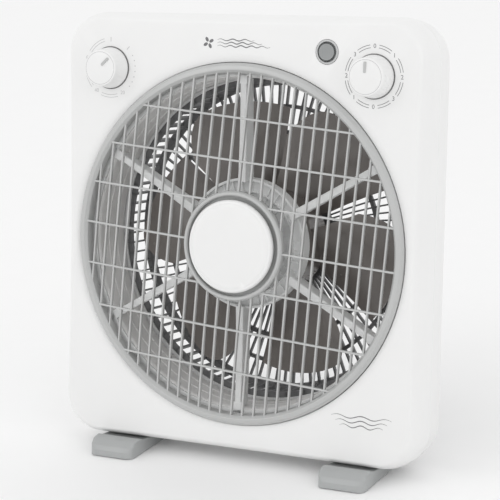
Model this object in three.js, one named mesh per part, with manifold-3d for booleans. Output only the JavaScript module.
// A box fan of the 30 cm class: a rounded square housing that leans back on two wedge feet, a smoky
// six-blade fan on a motor at the back, and a round front grille that its own small gear motor
// turns slowly. Millimetres, +Z up, the front faces -Y, and the origin is at the middle of the
// floor under the fan.
//
// The fan is built in a body frame whose Y axis is the fan axis (Y = 0 is the front face of the
// housing and Y grows towards the back), and that frame is then leaned back and set on the floor.

import * as THREE from 'three';
import { mergeVertices } from 'three/addons/utils/BufferGeometryUtils.js';
import Module from 'manifold-3d';

const wasm = await Module();
wasm.setup();

// ---------------------------------------------------------------- driving dimensions

const CLEAR = 0.3;                 // gap left between pieces that touch
const LEAN = THREE.MathUtils.degToRad(8);

const housing = {
  halfWidth: 182, top: 208, bottom: -191, corner: 36, wall: 2.5,
  seam: 30,                        // depth where the front panel meets the rear housing
  depth: 64,                       // depth of the rear housing's back face
  faceInset: 5.5,                  // how far the front face's edge lies inside the outline
  pinch: 3.5,                      // how far the face's sides bow inwards
  shoulder: 19,                    // depth at which the shoulder reaches the full outline
  backInset: 9,                    // how far the back face's edge lies inside the outline
};
const rim = { outer: 165, inner: 156, front: -3.4, back: 7, gap: 1.5 };
const bars = {
  pitch: 11.3, rowPitch: 38.5, thick: 1.6, deep: 3.6, rowThick: 1.8, rowDeep: 3.6,
  sink: 0.6,                       // how far the uprights' fronts lie behind the rows'
  dome: 3, edge: -1,               // rise of the dome, and depth of its edge at the rim
  steps: 2,
};
const hub = {
  outer: 50, inner: 45.6, front: -7, back: 1.6, plate: 2, boss: 7, bossFront: -5.6, bossBack: 3,
};
const cap = { radius: 42.2, front: -10.4, crown: 2, thick: 2.6, skirt: 37 };
const duct = { inner: 151.5, wall: 2.5, front: 14, back: 58, flange: 168, flangeThick: 2.2 };
const spider = {
  arms: 6, ringInner: 153, ringOuter: 166, ringThick: 2.5, armWide: 8, armBack: 32,
  disc: 60, discAt: 24, discThick: 3, wallDeep: 8, centreHole: 12,
};
const guard = {
  outer: 151, flange: 160, flangeThick: 2.4, slats: 22, slatThick: 1.8, slatDeep: 5,
  turn: 94, back: 101, centre: 106, middleRing: 98, plate: 52, plateThick: 2.6,
};
const fan = {
  blades: 6, tip: 135, hub: 52, hubWall: 2, front: 50, back: 86, bladeFront: 54, bladeBack: 93,
  thick: 2, phase: 51, boss: 8, bossBack: 63,
  halfSpread: 26.5,                // degrees: half a blade's width
  rootShare: 0.9, tipFlat: 0.25,
  tipAt: 0.4,                      // where across the blade its tip lies, from -1 to 1
  leadDrop: 8, trailDrop: 100,     // how fast the outline falls off on the tip's two sides
};
const motor = {
  radius: 41, bellWall: 2.5, front: 66, stackFront: 81, stackBack: 93, bore: 24,
  rotor: 22.5, rotorFront: 79, rotorBack: 95, shaft: 3.9, bushOuter: 8, bushLong: 6,
  coilInner: 25, coilOuter: 30.5, coilFront: 8, coilRear: 6, boltInset: 5, bolt: 1.7,
};
const cover = { overlap: 5, wall: 2, deep: 13 };
const gearMotor = { radius: 24.5, front: 8, back: 23.7, shaft: 3, earReach: 5.5, plate: 2 };
const knob = {
  x: 132.6, z: 156.7, radius: 19.2, face: 17.2, front: -19.5, back: -0.8, wall: 2.2, crown: 1.6,
  markFrom: 4.5, markTo: 12.5, markHalf: 1.1,
};
const spindle = { radius: 3, bushing: 5, front: -14.6, back: 16, bushingFront: -2.8, nut: 8 };
const selector = { radius: 16.5, deep: 22 };
const works = { halfWide: 19, halfHigh: 17, deep: 26 };
const button = {
  x: 87.5, z: 176.7, radius: 8.4, bezel: 11, front: -1.6, back: 4, travel: 4, stem: 3,
  stemBack: 18, switchHalf: 8, switchFront: 10, switchBack: 28,
};
const foot = {
  x: 118, wide: 46, toe: -20, heel: 118, toeHigh: 5.7, toeFloor: -207.5, corner: 8,
  channel: 7, soleGap: 0.8, screwAt: 18, screwSeat: -197,
};
const pad = { wide: 26, long: 14, thick: 2.4, places: [-4, 100] };
const lip = { front: 1, back: 8, low: 2.2, high: 9, inset: 1 };
const screw = {
  hole: 2, shank: 1.5, head: 3.4, headHigh: 2.2, boss: 4.2, tab: 7,
  housing: 18, duct: 10.5, guard: 8, gear: 9, foot: 15,   // shank lengths by place
};
const grip = { halfWide: 45, low: 171, high: 193, deep: 24, wall: 2.2 };
const gland = { x: -128, z: -158, radius: 6.2, flange: 9, bore: 4.4, inside: 10, outside: 9 };
const capacitor = { x: [112, 148], y: [12, 44], z: [-168, -148] };
const terminals = { x: [-142, -112], y: [33, 50], z: [-172, -154], slots: [-134, -127, -120] };
const loom = { radius: 2.2, sides: 8, steps: 22 };
// How many flat sides stand for a round, by its size.
const round = { huge: 48, large: 28, middle: 18, small: 12, screw: 8 };

// ---------------------------------------------------------------- derived sizes

const middleZ = (housing.top + housing.bottom) / 2;
const halfHeight = (housing.top - housing.bottom) / 2;
const opening = rim.outer + rim.gap;
const bossX = housing.halfWidth - 25;
const cornerBosses = [
  [-bossX, housing.bottom + 25], [bossX, housing.bottom + 25],
  [bossX, housing.top - 25], [-bossX, housing.top - 25],
];
const ductScrewAt = duct.flange + 4;
const guardScrewAt = guard.flange + 3;
const motorBoltAt = motor.radius - motor.boltInset;
const coverRadius = motor.radius + cover.overlap;
const gearEar = gearMotor.radius + gearMotor.earReach;
const diagonal = [45, 135, 225, 315].map(THREE.MathUtils.degToRad);
const floorAt = (y) => foot.toeFloor + Math.tan(LEAN) * (y - foot.toe);
const domeAt = (r) => bars.edge - bars.dome * (1 - (r / rim.inner) ** 2);
const onCircle = (radius, angle) => [radius * Math.cos(angle), radius * Math.sin(angle)];

// ---------------------------------------------------------------- solid helpers

// A closed three.js geometry as a solid, with its triangles facing out.
function solid(geometry) {
  const bare = geometry.clone();
  bare.deleteAttribute('normal');
  bare.deleteAttribute('uv');
  const merged = mergeVertices(bare, 1e-4);
  const place = merged.attributes.position;
  const corner = [0, 1, 2].map(() => new THREE.Vector3());
  const kept = [];
  let volume = 0;
  for (let i = 0; i < merged.index.count; i += 3) {
    const ids = [0, 1, 2].map((k) => merged.index.getX(i + k));
    if (new Set(ids).size < 3) continue;
    ids.forEach((id, k) => corner[k].fromBufferAttribute(place, id));
    volume += corner[0].dot(corner[1].clone().cross(corner[2]));
    kept.push(ids);
  }
  const facing = volume > 0 ? kept : kept.map(([a, b, c]) => [a, c, b]);
  return new wasm.Manifold(new wasm.Mesh({
    numProp: 3,
    vertProperties: new Float32Array(place.array),
    triVerts: new Uint32Array(facing.flat()),
  }));
}

const join = (...pieces) => pieces.reduce((a, b) => a.add(b));
const cut = (body, ...tools) => tools.reduce((a, b) => a.subtract(b), body);

function geometryOf(manifold) {
  const mesh = manifold.getMesh();
  const geometry = new THREE.BufferGeometry();
  geometry.setAttribute('position', new THREE.BufferAttribute(mesh.vertProperties, 3));
  geometry.setIndex(new THREE.BufferAttribute(mesh.triVerts, 1));
  geometry.computeVertexNormals();
  return geometry;
}

// Turned about the fan axis or a line parallel to it: the profile is a list of [radius, y].
function turned(profile, segments = round.middle, x = 0, z = 0) {
  const points = profile.map(([r, y]) => new THREE.Vector2(r, y));
  const closed = profile[0][0] > 0 ? [...points, points[0].clone()] : points;
  return solid(new THREE.LatheGeometry(closed, segments).translate(x, 0, z));
}

const rod = (radius, y0, y1, segments = round.small, x = 0, z = 0) =>
  turned([[0, y0], [radius, y0], [radius, y1], [0, y1]], segments, x, z);

const tube = (inner, outer, y0, y1, segments = round.middle, x = 0, z = 0) =>
  turned([[inner, y0], [outer, y0], [outer, y1], [inner, y1]], segments, x, z);

function block(x0, x1, y0, y1, z0, z1) {
  const geometry = new THREE.BoxGeometry(x1 - x0, y1 - y0, z1 - z0);
  return solid(geometry.translate((x0 + x1) / 2, (y0 + y1) / 2, (z0 + z1) / 2));
}

const aboutAxis = (manifold, angle) => manifold.rotate([0, -THREE.MathUtils.radToDeg(angle), 0]);

// ---------------------------------------------------------------- housing outline

// The housing's outline seen from the front, about its own middle, with points along each side so
// that the sides can bow.
function outline() {
  const w = housing.halfWidth;
  const h = halfHeight;
  const r = housing.corner;
  const steps = 3;
  const shape = new THREE.Shape();
  const corners = [[w - r, h - r, 0], [r - w, h - r, 1], [r - w, r - h, 2], [w - r, r - h, 3]];
  shape.moveTo(w, r - h);
  for (const [x, y, quarter] of corners) {
    const start = quarter * Math.PI / 2;
    const from = shape.currentPoint.clone();
    const to = new THREE.Vector2(x + r * Math.cos(start), y + r * Math.sin(start));
    for (let i = 1; i <= steps; i += 1) {
      const point = from.clone().lerp(to, i / steps);
      shape.lineTo(point.x, point.y);
    }
    shape.absarc(x, y, r, start, start + Math.PI / 2, false);
  }
  return shape;
}

// The outline swept along the fan axis through stations of depth, inset and side bow.
function loft(stations) {
  const last = stations.length - 1;
  const geometry = new THREE.ExtrudeGeometry(outline(),
    { depth: last, steps: last, bevelEnabled: false, curveSegments: 4 });
  const place = geometry.attributes.position;
  for (let i = 0; i < place.count; i += 1) {
    const { y, inset, bow } = stations[last - Math.round(place.getZ(i))];
    const u = place.getX(i) / housing.halfWidth;
    const v = place.getY(i) / halfHeight;
    const x = u * (housing.halfWidth - inset - bow * (1 - v * v));
    const z = v * (halfHeight - inset - 0.6 * bow * (1 - u * u));
    place.setXYZ(i, x, y, middleZ + z);
  }
  return solid(geometry);
}

const frontStations = (grow) => [
  { y: 0, inset: housing.faceInset, bow: housing.pinch },
  { y: 3.5, inset: housing.faceInset - 2.8, bow: housing.pinch * 0.75 },
  { y: 9, inset: housing.faceInset * 0.2, bow: housing.pinch * 0.35 },
  { y: housing.shoulder, inset: 0, bow: 0 },
  { y: housing.seam, inset: 0, bow: 0 },
].map(({ y, inset, bow }) => ({ y: y + grow, inset: inset + grow, bow }));

const backStations = (grow) => [
  { y: housing.seam + CLEAR, inset: 0, bow: 0 },
  { y: housing.depth - 14, inset: 1.5, bow: 0 },
  { y: housing.depth - 6, inset: 2.6, bow: 0 },
  { y: housing.depth - 2, inset: housing.backInset / 2, bow: 0 },
  { y: housing.depth, inset: housing.backInset, bow: 0 },
].map(({ y, inset, bow }) => ({ y: y - grow, inset: inset + grow, bow }));

// ---------------------------------------------------------------- scene graph

const fanGroup = new THREE.Group();
const body = new THREE.Group();
body.rotation.x = -LEAN;
fanGroup.add(body);

const materials = {
  white: [0xf1f1f0, 0.42, 0], gray: [0xa5a8a7, 0.45, 0], pale: [0xc9cbca, 0.5, 0],
  smoke: [0x6a6561, 0.3, 0], steel: [0xb8babc, 0.35, 0.9], iron: [0x55585a, 0.5, 0.8],
  brass: [0xb58a45, 0.4, 0.9], copper: [0xa45a2c, 0.45, 0.7], rubber: [0x2b2b2c, 0.9, 0],
  black: [0x252627, 0.55, 0], silver: [0xc2c4c6, 0.3, 0.6],
};
for (const [key, [color, roughness, metalness]] of Object.entries(materials)) {
  materials[key] = new THREE.MeshStandardMaterial({ name: key, color, roughness, metalness });
}

function piece(name, manifold, material) {
  const mesh = new THREE.Mesh(geometryOf(manifold), materials[material].clone());
  mesh.name = name;
  body.add(mesh);
}

// A pan-head screw whose head's seat is at y = seat, with its shank along +Y or -Y (way).
function panScrew(x, z, seat, length, way) {
  const profile = [
    [0, seat + way * length], [screw.shank, seat + way * length], [screw.shank, seat],
    [screw.head, seat], [screw.head * 0.7, seat - way * screw.headHigh],
    [0, seat - way * screw.headHigh],
  ];
  return turned(profile, round.screw, x, z);
}

// ---------------------------------------------------------------- front panel

function frontPanel() {
  let panel = cut(loft(frontStations(0)), loft(frontStations(housing.wall)));
  const behindFace = housing.wall - 0.5;
  // The collar round the opening, and the bosses for the corner and duct screws.
  panel = join(panel, tube(opening, opening + 2.5, behindFace, rim.back + 2, round.huge));
  for (const [x, z] of cornerBosses) {
    panel = join(panel, rod(screw.boss + 1.3, behindFace, housing.seam, round.screw, x, z));
  }
  for (const angle of diagonal) {
    const [x, z] = onCircle(ductScrewAt, angle);
    const end = duct.front - CLEAR - spider.ringThick - CLEAR;
    panel = join(panel, rod(screw.boss, behindFace, end, round.screw, x, z));
  }
  // A lip over each foot, and a boss for its screw.
  for (const side of [-1, 1]) {
    const x0 = side * foot.x - foot.wide / 2 + lip.inset;
    const bar = block(x0, x0 + foot.wide - 2 * lip.inset, lip.front, lip.back,
      housing.bottom + lip.low, housing.bottom + lip.high);
    const boss = block(side * foot.x - 5, side * foot.x + 5, foot.screwAt - 5, foot.screwAt + 5,
      housing.bottom + 1, housing.bottom + 14);
    panel = join(panel, bar, boss);
  }
  // The round opening with its shallow dish, and the holes for the controls and screws.
  const dish = turned([[0, -1], [opening + 8, -1], [opening + 2.5, 1], [opening, 2.4],
    [opening, rim.back + 5], [0, rim.back + 5]], round.huge);
  const holes = [
    rod(spindle.bushing + 0.6, -1, 6, round.middle, knob.x, knob.z),
    rod(spindle.bushing + 0.6, -1, 6, round.middle, -knob.x, knob.z),
    rod(button.bezel + CLEAR, -1, 6, round.middle, button.x, button.z),
    ...cornerBosses.map(([x, z]) => rod(screw.hole, 8, housing.seam + 1, round.screw, x, z)),
    ...diagonal.map((angle) => rod(screw.hole, 4.5, duct.front, round.screw,
      ...onCircle(ductScrewAt, angle))),
    ...[-1, 1].map((side) => footHole(side, screw.hole, housing.bottom + 12)),
  ];
  return cut(panel, dish, ...holes);
}

// A hole or shank along the body's Z axis at a foot's screw.
function footHole(side, radius, top) {
  const low = foot.toeFloor - 5;
  const geometry = new THREE.CylinderGeometry(radius, radius, top - low, round.screw);
  geometry.rotateX(Math.PI / 2).translate(side * foot.x, foot.screwAt, (top + low) / 2);
  return solid(geometry);
}

// ---------------------------------------------------------------- rear housing

function rearHousing() {
  const whole = loft(backStations(0));
  const inner = [{ y: housing.seam - 5, inset: housing.wall, bow: 0 },
    ...backStations(housing.wall)];
  let shell = cut(whole, loft(inner));
  const inside = housing.depth - housing.wall + 0.5;
  for (const [x, z] of cornerBosses) {
    shell = join(shell, rod(screw.boss + 1.8, housing.seam + CLEAR, inside, round.small, x, z));
  }
  for (const angle of diagonal) {
    shell = join(shell, rod(screw.boss, housing.depth - 13, inside, round.small,
      ...onCircle(guardScrewAt, angle)));
  }
  // The grip pocket at the top and the foot channels at the bottom, each with its own walls.
  const pocketFront = housing.depth - grip.deep;
  const walls = block(-grip.halfWide - grip.wall, grip.halfWide + grip.wall,
    pocketFront - grip.wall, inside, grip.low - grip.wall, grip.high + grip.wall);
  shell = join(shell, walls);
  const channels = [];
  for (const side of [-1, 1]) {
    const x0 = side * foot.x - foot.wide / 2 - 1;
    const x1 = side * foot.x + foot.wide / 2 + 1;
    const roof = housing.bottom + foot.channel;
    const around = block(x0 - housing.wall, x1 + housing.wall, housing.seam, housing.depth,
      housing.bottom - 1, roof + housing.wall);
    shell = join(shell, whole.intersect(around));
    channels.push(block(x0, x1, housing.seam - 1, housing.depth + 1, housing.bottom - 2, roof));
  }
  const pocket = block(-grip.halfWide, grip.halfWide, pocketFront, housing.depth + 1,
    grip.low, grip.high);
  const headSeat = housing.seam + 6;
  const holes = [
    rod(guard.outer - 1, housing.depth - 10, housing.depth + 1, round.huge),
    rod(gland.radius + 0.4, housing.depth - 6, housing.depth + 1, round.middle, gland.x, gland.z),
    ...cornerBosses.flatMap(([x, z]) => [
      rod(screw.hole, housing.seam - 1, headSeat + 1, round.screw, x, z),
      rod(screw.head + 0.8, headSeat, housing.depth + 1, round.small, x, z),
    ]),
    ...diagonal.map((angle) => rod(screw.hole, housing.depth - 11, housing.depth + 1, round.screw,
      ...onCircle(guardScrewAt, angle))),
  ];
  return cut(shell, pocket, ...channels, ...holes);
}

// ---------------------------------------------------------------- air duct and spider

function ductRing() {
  const outer = duct.inner + duct.wall;
  const behind = duct.front + duct.flangeThick;
  let ring = turned([[duct.inner, duct.front], [duct.flange, duct.front], [duct.flange, behind],
    [outer, behind], [outer, duct.back], [duct.inner, duct.back]], round.huge);
  for (const angle of diagonal) {
    ring = join(ring, rod(screw.tab, duct.front, behind, round.small,
      ...onCircle(ductScrewAt - 1, angle)));
  }
  return cut(ring, ...diagonal.map((angle) => rod(screw.hole, duct.front - 1, behind + 1, round.screw,
    ...onCircle(ductScrewAt, angle))));
}

function spiderFrame() {
  const back = duct.front - CLEAR;
  const front = back - spider.ringThick;
  const wallFront = spider.discAt - 4;
  let frame = tube(spider.ringInner, spider.ringOuter, front, back, round.huge);
  for (let i = 0; i < spider.arms; i += 1) {
    const arm = join(
      block(spider.disc - 3, duct.inner - 1.5, front, spider.armBack,
        -spider.armWide / 2, spider.armWide / 2),
      block(duct.inner - 5, spider.ringOuter - 3, front, back,
        -spider.armWide / 2, spider.armWide / 2));
    frame = join(frame, aboutAxis(arm, Math.PI / 2 + i * 2 * Math.PI / spider.arms));
  }
  for (const angle of diagonal) {
    frame = join(frame, rod(screw.tab, front, back, round.small, ...onCircle(ductScrewAt - 1, angle)));
  }
  const wallBack = wallFront + spider.wallDeep + 4;
  frame = join(frame, tube(spider.disc - 3, spider.disc, wallFront, wallBack, round.large),
    rod(spider.disc - 1, spider.discAt, spider.discAt + spider.discThick, round.large));
  const holes = [
    ...diagonal.map((angle) => rod(screw.hole, front - 1, back + 1, round.screw,
      ...onCircle(ductScrewAt, angle))),
    ...[-1, 1].map((side) => rod(screw.hole, wallFront, spider.armBack, round.screw,
      side * gearEar, 0)),
    rod(spider.centreHole, wallFront, spider.armBack, round.middle),
  ];
  return cut(frame, ...holes);
}

// ---------------------------------------------------------------- rear guard

// A basket of slats: each one runs back along the side, turns the corner and runs in to the middle.
function rearGuard() {
  const start = housing.depth + CLEAR;
  const line = [[guard.outer, start], [guard.outer, guard.turn], [guard.outer - 3, guard.back - 2],
    [guard.outer - 9, guard.back], [guard.middleRing, guard.back + 2.5], [guard.plate - 2, guard.centre]];
  const inner = [[guard.plate - 2, guard.centre - guard.slatDeep],
    [guard.middleRing, guard.back + 2.5 - guard.slatDeep], [guard.outer - 12, guard.back - 5.5],
    [guard.outer - 5, guard.turn - 2], [guard.outer - 5, start]];
  const side = new THREE.Shape([...line, ...inner].map(([r, y]) => new THREE.Vector2(r, y)));
  const slat = solid(new THREE.ExtrudeGeometry(side, { depth: guard.slatThick, bevelEnabled: false })
    .translate(0, 0, -guard.slatThick / 2));
  const slats = [];
  for (let i = 0; i < guard.slats; i += 1) {
    slats.push(aboutAxis(slat, (i + 0.5) * 2 * Math.PI / guard.slats));
  }
  const flangeBack = start + guard.flangeThick;
  let basket = join(
    tube(guard.outer - 5, guard.flange, start, flangeBack, round.huge),
    turned([[guard.outer - 6, guard.turn], [guard.outer - 1, guard.turn],
      [guard.outer - 4, guard.back - 1], [guard.outer - 8, guard.back - 1]], round.huge),
    tube(guard.middleRing - 2, guard.middleRing + 2, guard.back - 2, guard.back + 2.2, round.large),
    rod(guard.plate, guard.centre - guard.plateThick, guard.centre, round.large),
    ...slats);
  for (const angle of diagonal) {
    basket = join(basket, rod(6, start, flangeBack, round.small, ...onCircle(guardScrewAt, angle)));
  }
  const holes = [
    ...diagonal.map((angle) => rod(screw.hole, start - 1, flangeBack + 1, round.screw,
      ...onCircle(guardScrewAt, angle))),
    ...[-1, 1].map((way) => rod(screw.hole + 0.2, guard.centre - 10, guard.centre + 5, round.screw,
      way * motorBoltAt, 0)),
  ];
  return cut(basket, ...holes);
}

// ---------------------------------------------------------------- rotating front grille

// A bar in the plane at `offset` from the axis, following the grille's dome between its rim ends.
function bar(offset, thick, deep, sink) {
  const reach = Math.sqrt((rim.inner + 1.5) ** 2 - offset ** 2);
  const front = [];
  for (let i = 0; i <= bars.steps; i += 1) {
    const along = reach * (2 * i / bars.steps - 1);
    front.push([along, domeAt(Math.min(Math.hypot(along, offset), rim.inner)) + sink]);
  }
  const back = front.map(([along, y]) => [along, y + deep]).reverse();
  const shape = new THREE.Shape([...front, ...back].map(([a, y]) => new THREE.Vector2(a, y)));
  const geometry = new THREE.ExtrudeGeometry(shape, { depth: thick, bevelEnabled: false });
  return solid(geometry.translate(0, 0, -thick / 2)).translate([0, 0, offset]);
}

function grille() {
  const pieces = [];
  const rows = Math.floor((rim.inner - 10) / bars.rowPitch);
  const columns = Math.floor((rim.inner - 4) / bars.pitch);
  for (let i = -rows; i <= rows; i += 1) {
    pieces.push(bar(i * bars.rowPitch, bars.rowThick, bars.rowDeep, 0));
  }
  for (let i = -columns; i <= columns; i += 1) {
    pieces.push(aboutAxis(bar(i * bars.pitch, bars.thick, bars.deep, bars.sink), Math.PI / 2));
  }
  const lattice = cut(join(...pieces), rod(hub.outer - 2, -40, 40, round.large));
  const rimRing = turned([[rim.outer, rim.back], [rim.outer, 0], [rim.outer - 1.2, rim.front + 1],
    [rim.outer - 4, rim.front], [rim.inner + 2, rim.front + 1], [rim.inner, bars.edge],
    [rim.inner, rim.back]], round.huge);
  const hubCup = turned([[0, hub.bossFront], [hub.boss, hub.bossFront],
    [hub.boss, hub.back - hub.plate], [hub.inner, hub.back - hub.plate],
    [hub.inner, hub.front + 0.8], [hub.inner + 1, hub.front], [hub.outer - 1, hub.front],
    [hub.outer, hub.front + 1], [hub.outer, hub.back], [hub.boss, hub.back],
    [hub.boss, hub.bossBack], [0, hub.bossBack]], round.large);
  const bore = rod(gearMotor.shaft + 0.4, hub.bossFront - 1, hub.bossBack + 1, round.small);
  return cut(join(lattice, rimRing, hubCup), bore);
}

function grilleCap() {
  const back = cap.front + cap.thick;
  const seat = hub.back - hub.plate - CLEAR;
  return turned([[0, cap.front - cap.crown], [cap.radius * 0.6, cap.front - cap.crown * 0.65],
    [cap.radius - 1, cap.front], [cap.radius, cap.front + 1.2], [cap.radius, back],
    [cap.skirt, back], [cap.skirt, seat],
    [cap.skirt - 2, seat], [cap.skirt - 2, back], [0, back]], round.large);
}

// ---------------------------------------------------------------- fan and main motor

function fanRotor() {
  const half = THREE.MathUtils.degToRad(fan.halfSpread);
  const root = fan.hub - 1.5;
  let rotor = turned([[0, fan.front], [fan.hub - 3, fan.front], [fan.hub, fan.front + 3],
    [fan.hub, fan.back], [fan.hub - fan.hubWall, fan.back],
    [fan.hub - fan.hubWall, fan.front + fan.hubWall], [fan.boss, fan.front + fan.hubWall],
    [fan.boss, fan.bossBack], [0, fan.bossBack]], round.large);
  const blade = new THREE.BoxGeometry(1, 1, 1, 4, 1, 8);
  const place = blade.attributes.position;
  for (let i = 0; i < place.count; i += 1) {
    const outward = place.getX(i) + 0.5;
    const across = place.getZ(i) * 2;
    const off = across - fan.tipAt;
    const drop = off < 0 ? fan.leadDrop * Math.abs(off) ** 1.3 : fan.trailDrop * off ** 2;
    const radius = root + (fan.tip - drop - root) * outward;
    const spread = half * (fan.rootShare + (1 - fan.rootShare) * outward);
    const angle = spread * across;
    const reach = (fan.bladeBack - fan.bladeFront - fan.thick) / 2 * (1 - fan.tipFlat * outward);
    const middle = (fan.bladeFront + fan.bladeBack) / 2;
    const y = middle - reach * across + fan.thick * place.getY(i);
    const [x, z] = onCircle(radius, angle);
    place.setXYZ(i, x, y, z);
  }
  const hubCut = rod(fan.hub - fan.hubWall, fan.front + fan.hubWall, fan.bladeBack + 5, round.large);
  const bladeSolid = cut(solid(blade), hubCut);
  for (let i = 0; i < fan.blades; i += 1) {
    const angle = THREE.MathUtils.degToRad(fan.phase) + i * 2 * Math.PI / fan.blades;
    rotor = join(rotor, aboutAxis(bladeSolid, angle));
  }
  return cut(rotor, rod(motor.shaft + CLEAR + 0.1, fan.front - 1, fan.bossBack + 1, round.small));
}

function motorBell(open, closed) {
  const way = Math.sign(open - closed);
  const wall = motor.bellWall * way;
  const seat = motor.bushOuter + CLEAR + 0.1;
  let bell = turned([[seat, closed], [motor.radius - 3, closed], [motor.radius, closed + 3 * way],
    [motor.radius, open], [motor.radius - motor.bellWall, open],
    [motor.radius - motor.bellWall, closed + wall], [seat + 2.5, closed + wall],
    [seat + 2.5, closed + way * (motor.bushLong + 1)],
    [seat, closed + way * (motor.bushLong + 1)]], round.middle);
  const holes = [];
  for (const side of [-1, 1]) {
    const [y0, y1] = [Math.min(open, closed + wall / 2), Math.max(open, closed + wall / 2)];
    bell = join(bell, rod(3.6, y0, y1, round.small, side * motorBoltAt, 0));
    holes.push(rod(motor.bolt + 0.4, Math.min(open, closed) - 1, Math.max(open, closed) + 1,
      round.screw, side * motorBoltAt, 0));
  }
  return cut(bell, ...holes);
}

function buildMotor() {
  const rearClosed = guard.centre - guard.plateThick - CLEAR;
  const rearOpen = motor.stackBack + CLEAR;
  const frontOpen = motor.stackFront - CLEAR;
  const boltEnd = motor.front + motor.bellWall / 2 - 1.5;
  const bush = (y0, y1) => tube(motor.shaft + 0.4, motor.bushOuter, y0, y1, round.middle);
  const coil = (y0, y1) => turned([[motor.coilInner, y0], [motor.coilOuter - 1.5, y0],
    [motor.coilOuter, (y0 + y1) / 2], [motor.coilOuter - 1.5, y1], [motor.coilInner, y1]],
  round.middle);
  const stack = cut(
    tube(motor.bore, motor.radius - 0.4, motor.stackFront, motor.stackBack, round.middle),
    ...[-1, 1].map((side) => rod(motor.bolt + 0.4, motor.stackFront - 1, motor.stackBack + 1,
      round.screw, side * motorBoltAt, 0)));
  piece('motor_front_bell', motorBell(frontOpen, motor.front), 'iron');
  piece('motor_rear_bell', motorBell(rearOpen, rearClosed), 'iron');
  piece('stator_stack', stack, 'steel');
  piece('front_winding', coil(motor.stackFront - motor.coilFront, frontOpen), 'copper');
  piece('rear_winding', coil(rearOpen, rearOpen + motor.coilRear), 'copper');
  piece('front_bush', bush(motor.front, motor.front + motor.bushLong), 'brass');
  piece('rear_bush', bush(rearClosed - motor.bushLong, rearClosed - 0.4), 'brass');
  piece('rotor_core', tube(motor.shaft + CLEAR + 0.1, motor.rotor, motor.rotorFront,
    motor.rotorBack, round.middle), 'steel');
  piece('fan_shaft', rod(motor.shaft, fan.front - 6, rearClosed - 1, round.small), 'steel');
  piece('fan_rotor', fanRotor(), 'smoke');
  const nut = turned([[motor.shaft + 0.4, fan.front - CLEAR], [12, fan.front - CLEAR],
    [12, fan.front - 4], [8, fan.front - 8], [motor.shaft + 0.4, fan.front - 8]], round.small);
  piece('blade_nut', nut, 'smoke');
  [-1, 1].forEach((side, i) => {
    const x = side * motorBoltAt;
    const seat = guard.centre + CLEAR;
    const bolt = join(rod(motor.bolt, boltEnd, seat + 0.5, round.screw, x, 0),
      rod(screw.head, seat, seat + screw.headHigh, 6, x, 0));
    piece(`motor_bolt_${i + 1}`, bolt, 'steel');
  });
  const seat = guard.centre + CLEAR;
  const shell = turned([[coverRadius, seat], [coverRadius, seat + cover.deep * 0.6],
    [coverRadius - 6, seat + cover.deep], [0, seat + cover.deep],
    [0, seat + cover.deep - cover.wall], [coverRadius - 7, seat + cover.deep - cover.wall],
    [coverRadius - cover.wall, seat + cover.deep * 0.55], [coverRadius - cover.wall, seat]], round.large);
  piece('motor_rear_cover', shell, 'white');
}

// ---------------------------------------------------------------- grille motor

function buildGrilleMotor() {
  const bore = gearMotor.shaft + 0.4;
  const can = join(
    rod(gearMotor.radius, gearMotor.front, gearMotor.back, round.middle),
    rod(7, gearMotor.front - 3.5, gearMotor.front + 1, round.small),
    block(-gearEar - 4.5, gearEar + 4.5, gearMotor.back - gearMotor.plate, gearMotor.back, -4.5, 4.5));
  const holes = [rod(bore, 0, gearMotor.back - 4, round.small),
    ...[-1, 1].map((side) => rod(screw.hole, 0, 40, round.screw, side * gearEar, 0))];
  piece('grille_motor', cut(can, ...holes), 'steel');
  piece('grille_drive_shaft', rod(gearMotor.shaft, hub.bossFront + 0.5, gearMotor.back - 5,
    round.small), 'steel');
  [-1, 1].forEach((side, i) => {
    piece(`grille_motor_screw_${i + 1}`, panScrew(side * gearEar, 0,
      gearMotor.back - gearMotor.plate - CLEAR, screw.gear, 1), 'steel');
  });
}

// ---------------------------------------------------------------- controls

function knobBody(x, pointerAngle) {
  const faceBack = knob.front + knob.wall + knob.crown;
  const bossFoot = -5;
  const body = turned([[0, knob.front - knob.crown], [knob.radius * 0.6, knob.front - knob.crown * 0.7],
    [knob.face - 0.6, knob.front], [knob.face, knob.front + 1.2], [knob.radius, knob.back],
    [knob.radius - knob.wall, knob.back], [knob.face - knob.wall, faceBack],
    [spindle.bushing + 1, faceBack], [spindle.bushing + 1, bossFoot], [0, bossFoot]], round.middle);
  const bore = rod(spindle.radius + 0.4, -15, 0, round.small);
  const mark = aboutAxis(block(knob.markFrom, knob.markTo, knob.front - knob.crown - 0.4,
    knob.front + 1, -knob.markHalf, knob.markHalf), pointerAngle);
  return cut(join(body, mark), bore).translate([x, 0, knob.z]);
}

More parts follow.
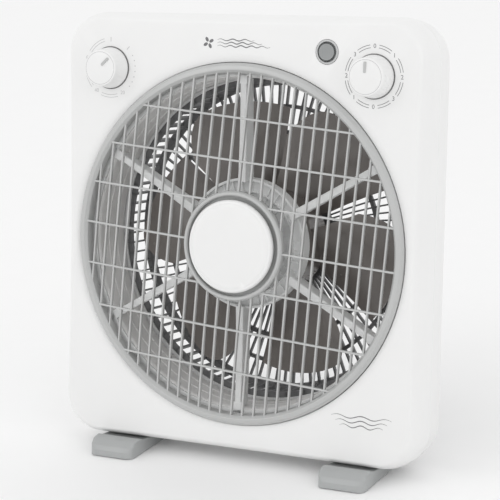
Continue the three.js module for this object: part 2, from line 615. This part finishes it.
function buildControls() {
  const front = spindle.bushingFront;
  const behind = housing.wall + CLEAR;
  const turning = (x) => rod(spindle.radius, spindle.front, spindle.back, round.small, x, knob.z);
  const nut = (x) => cut(rod(spindle.nut, front, -CLEAR, 6, x, knob.z),
    rod(spindle.bushing + 0.4, front - 1, 0, round.small, x, knob.z));
  const bore = (x) => rod(spindle.radius + 0.4, -10, spindle.back + 0.6, round.small, x, knob.z);
  const bushing = (x) => rod(spindle.bushing, front, behind + 1, round.small, x, knob.z);

  const switchCase = join(bushing(knob.x),
    rod(selector.radius, behind, behind + selector.deep, round.middle, knob.x, knob.z));
  piece('speed_switch', cut(switchCase, bore(knob.x)), 'black');
  piece('speed_switch_nut', nut(knob.x), 'steel');
  piece('speed_spindle', turning(knob.x), 'steel');
  piece('speed_knob', knobBody(knob.x, Math.PI / 2), 'white');

  const worksCase = join(bushing(-knob.x),
    block(-knob.x - works.halfWide, -knob.x + works.halfWide, behind, behind + works.deep,
      knob.z - works.halfHigh, knob.z + works.halfHigh));
  piece('timer_works', cut(worksCase, bore(-knob.x)), 'pale');
  piece('timer_nut', nut(-knob.x), 'steel');
  piece('timer_spindle', turning(-knob.x), 'steel');
  piece('timer_knob', knobBody(-knob.x, Math.PI / 4), 'white');

  const { x, z } = button;
  const bezel = turned([[button.radius + 0.6, -0.4], [button.radius + 1.6, -1.3],
    [button.bezel - 0.6, -1.1], [button.bezel, -0.2], [button.bezel, 8],
    [button.radius + 0.6, 8]], round.middle, x, z);
  piece('button_bezel', bezel, 'silver');
  const plunger = turned([[0, button.front + 0.5], [button.radius * 0.6, button.front + 0.3],
    [button.radius - 0.8, button.front], [button.radius, button.front + 0.8],
    [button.radius, button.back], [button.stem, button.back], [button.stem, button.stemBack],
    [0, button.stemBack]], round.middle, x, z);
  piece('grille_button', plunger, 'gray');
  const half = button.switchHalf;
  const box = block(x - half, x + half, button.switchFront, button.switchBack, z - half, z + half);
  const stemHole = rod(button.stem + 0.4, button.back + 1, button.stemBack + 0.4 + button.travel,
    round.small, x, z);
  piece('push_switch', cut(box, stemHole), 'black');
}

// ---------------------------------------------------------------- feet

// A wedge with a rounded toe: thick under the front panel, thin where it runs under the rear
// housing, with a heel behind it.
function footSolid(side) {
  const under = housing.bottom - 0.4;
  const roof = housing.bottom + foot.channel - 0.5;
  const step = housing.seam + 0.8;
  const behind = housing.depth + 1.2;
  const sole = (at) => floorAt(at) + foot.soleGap;
  const band = sole(foot.toe) + foot.toeHigh;
  const points = [
    [foot.toe, sole(foot.toe)], [foot.toe, band], [foot.toe + 2, band + 3.2],
    [foot.toe + 6, band + 7], [foot.toe + 11, band + 10], [-3, under + 1.9], [1.5, under + 1.8],
    [4, under], [step, under], [step, roof], [behind, roof], [behind, roof + 4],
    [foot.heel - 12, roof + 4], [foot.heel - 3, roof + 1], [foot.heel, roof - 2],
    [foot.heel, sole(foot.heel)],
  ];
  const shape = new THREE.Shape(points.map(([a, z]) => new THREE.Vector2(a, z)));
  // Extruded along +Z, then turned so that its thickness runs across the fan.
  const wedge = solid(new THREE.ExtrudeGeometry(shape, { depth: foot.wide, bevelEnabled: false })
    .rotateX(Math.PI / 2).rotateZ(Math.PI / 2).translate(side * foot.x - foot.wide / 2, 0, 0));
  const half = foot.wide / 2;
  const plan = new THREE.Shape();
  plan.moveTo(-half, foot.heel + 1);
  plan.lineTo(-half, foot.toe + foot.corner);
  plan.absarc(-half + foot.corner, foot.toe + foot.corner, foot.corner, Math.PI, 1.5 * Math.PI);
  plan.absarc(half - foot.corner, foot.toe + foot.corner, foot.corner, 1.5 * Math.PI, 2 * Math.PI);
  plan.lineTo(half, foot.heel + 1);
  const column = solid(new THREE.ExtrudeGeometry(plan,
    { depth: 60, bevelEnabled: false, curveSegments: 6 })
    .translate(side * foot.x, 0, foot.toeFloor - 10));
  const seat = foot.screwSeat;
  const recess = footRod(side, screw.head + 0.8, foot.toeFloor - 5, seat);
  return cut(wedge.intersect(column), recess, footHole(side, screw.hole, housing.bottom + 12),
    ...pad.places.map((at) => footPad(side, at, CLEAR)));
}

function footRod(side, radius, low, top) {
  const geometry = new THREE.CylinderGeometry(radius, radius, top - low, round.small);
  geometry.rotateX(Math.PI / 2).translate(side * foot.x, foot.screwAt, (top + low) / 2);
  return solid(geometry);
}

// A rubber pad lying on the floor plane, at depth `at` of the body.
function footPad(side, at, grow) {
  const high = pad.thick + grow;
  const geometry = new THREE.BoxGeometry(pad.wide + 2 * grow, pad.long + 2 * grow, high);
  return solid(geometry.translate(0, 0, high / 2))
    .rotate([THREE.MathUtils.radToDeg(LEAN), 0, 0])
    .translate([side * foot.x, at, floorAt(at)]);
}

function buildFeet() {
  [['left', -1], ['right', 1]].forEach(([name, side]) => {
    piece(`foot_${name}`, footSolid(side), 'gray');
    piece(`foot_screw_${name}`, panScrew(0, 0, 0, screw.foot, 1).rotate([90, 0, 0])
      .translate([side * foot.x, foot.screwAt, foot.screwSeat - CLEAR]), 'steel');
    pad.places.forEach((at, i) => {
      piece(`foot_pad_${name}_${['front', 'rear'][i]}`, footPad(side, at, 0), 'rubber');
    });
  });
}

// ---------------------------------------------------------------- wiring

function buildWiring() {
  piece('run_capacitor', block(...capacitor.x, ...capacitor.y, ...capacitor.z), 'black');
  const [front] = terminals.y;
  const [low, high] = terminals.z;
  const slots = terminals.slots.map((x) => block(x - 1.5, x + 1.5, front - 2, front + 6,
    low + 4, high - 4));
  piece('terminal_block', cut(block(...terminals.x, ...terminals.y, low, high), ...slots), 'pale');

  const back = housing.depth + CLEAR;
  const bush = join(
    tube(gland.bore, gland.radius, back - gland.inside, back + gland.outside, round.middle,
      gland.x, gland.z),
    tube(gland.bore, gland.flange, back, back + 2.5, round.middle, gland.x, gland.z));
  piece('cord_gland', bush, 'black');

  // One loom from the terminal block up the left wall and across the top to the speed switch.
  const sideX = housing.halfWidth - housing.wall - 5;
  const route = new THREE.CatmullRomCurve3([
    [-143, 43, -160], [-152, 43, -156], [-sideX + 6, 41, -125], [-sideX, 37, -80],
    [-sideX, 36, 0], [-sideX, 36, 80], [-sideX + 3, 36, 140], [-sideX + 14, 38, 165],
    [-140, 38, 178], [-110, 36, 190], [-60, 34, 196], [0, 34, 198], [60, 34, 196], [105, 36, 190],
    [126, 38, 178], [knob.x, 36, 167], [knob.x, 25.4, 166],
  ].map((point) => new THREE.Vector3(...point)));
  const section = new THREE.Shape();
  for (let i = 0; i < loom.sides; i += 1) {
    const [x, y] = onCircle(loom.radius, i * 2 * Math.PI / loom.sides);
    if (i === 0) section.moveTo(x, y);
    else section.lineTo(x, y);
  }
  piece('wiring_loom', solid(new THREE.ExtrudeGeometry(section,
    { steps: loom.steps, extrudePath: route, bevelEnabled: false })), 'black');
}

// ---------------------------------------------------------------- assembly

piece('front_panel', frontPanel(), 'white');
piece('rear_housing', rearHousing(), 'white');
piece('duct_ring', ductRing(), 'pale');
piece('spider', spiderFrame(), 'pale');
piece('rear_guard', rearGuard(), 'gray');
piece('grille', grille(), 'gray');
piece('grille_cap', grilleCap(), 'white');
buildGrilleMotor();
buildMotor();
buildControls();
buildFeet();
buildWiring();

cornerBosses.forEach(([x, z], i) => {
  piece(`housing_screw_${i + 1}`, panScrew(x, z, housing.seam + 6 + CLEAR, screw.housing, -1),
    'steel');
});
diagonal.forEach((angle, i) => {
  const ductSeat = duct.front + duct.flangeThick + CLEAR;
  piece(`duct_screw_${i + 1}`, panScrew(...onCircle(ductScrewAt, angle), ductSeat, screw.duct, -1),
    'steel');
  const guardSeat = housing.depth + guard.flangeThick + 2 * CLEAR;
  piece(`guard_screw_${i + 1}`, panScrew(...onCircle(guardScrewAt, angle), guardSeat, screw.guard, -1),
    'steel');
});

// The body is set down so that the origin is at the middle of the floor under the fan.
fanGroup.updateMatrixWorld(true);
const extent = new THREE.Box3().setFromObject(fanGroup, true);
const centre = extent.getCenter(new THREE.Vector3());
body.position.set(-centre.x, -centre.y, -extent.min.z);

export default fanGroup;
